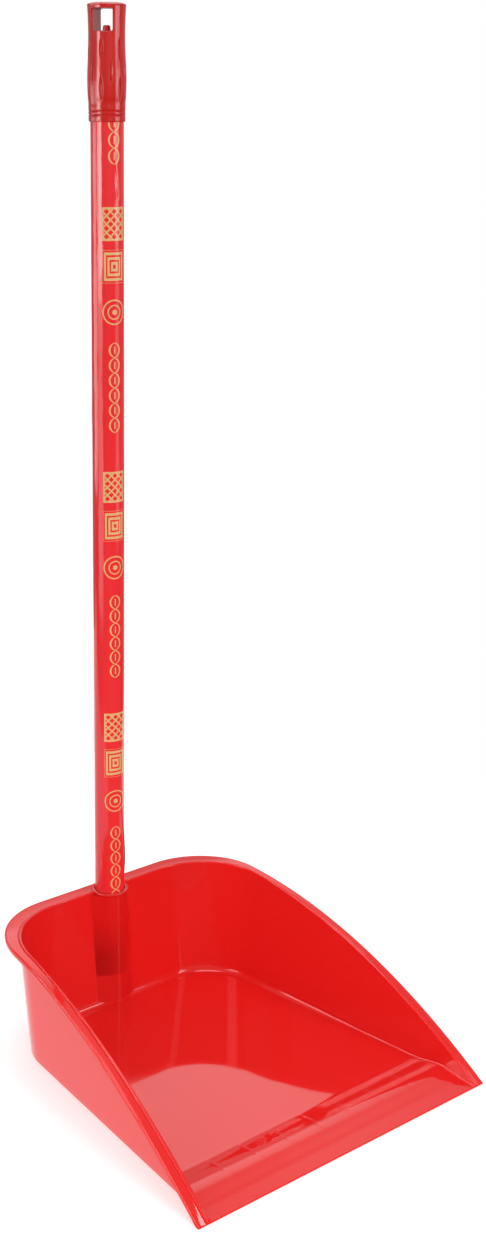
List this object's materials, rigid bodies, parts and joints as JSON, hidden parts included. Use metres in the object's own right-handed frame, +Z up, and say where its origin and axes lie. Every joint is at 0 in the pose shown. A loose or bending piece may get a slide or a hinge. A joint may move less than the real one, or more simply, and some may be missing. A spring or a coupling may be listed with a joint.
{
  "type": "long-handled dustpan",
  "caption": "Upright long-handled dustpan: deep moulded scoop with a flanged, sweeping rim and low front ramp, push-in tube handle in a printed sleeve, and a slotted hanging cap.",
  "frame": {"origin": "On the floor, at the middle of the bounding box's base.", "axes": "+Z up along the handle; the pan's mouth faces -Y and its back wall and handle stand at +Y; X is across the mouth."},
  "size_m": [0.2656, 0.2798, 0.7274],
  "materials": {
    "pan_plastic": "glossy injection-moulded red polypropylene",
    "tube_steel": "bare thin-walled welded steel tube",
    "sleeve_film": "thin glossy red film with a gold geometric print",
    "cap_plastic": "satin-gloss moulded red plastic"
  },
  "bodies": {
    "pan": {"pan": "pan_plastic"},
    "handle": {"handle_tube": "tube_steel", "handle_film": "sleeve_film", "hanging_cap": "cap_plastic"}
  },
  "joints": [
    {"name": "handle_pull", "type": "slide", "parent": "pan", "child": "handle", "axis": [0, 0, 1], "range_m": [0, 0.06]}
  ]
}
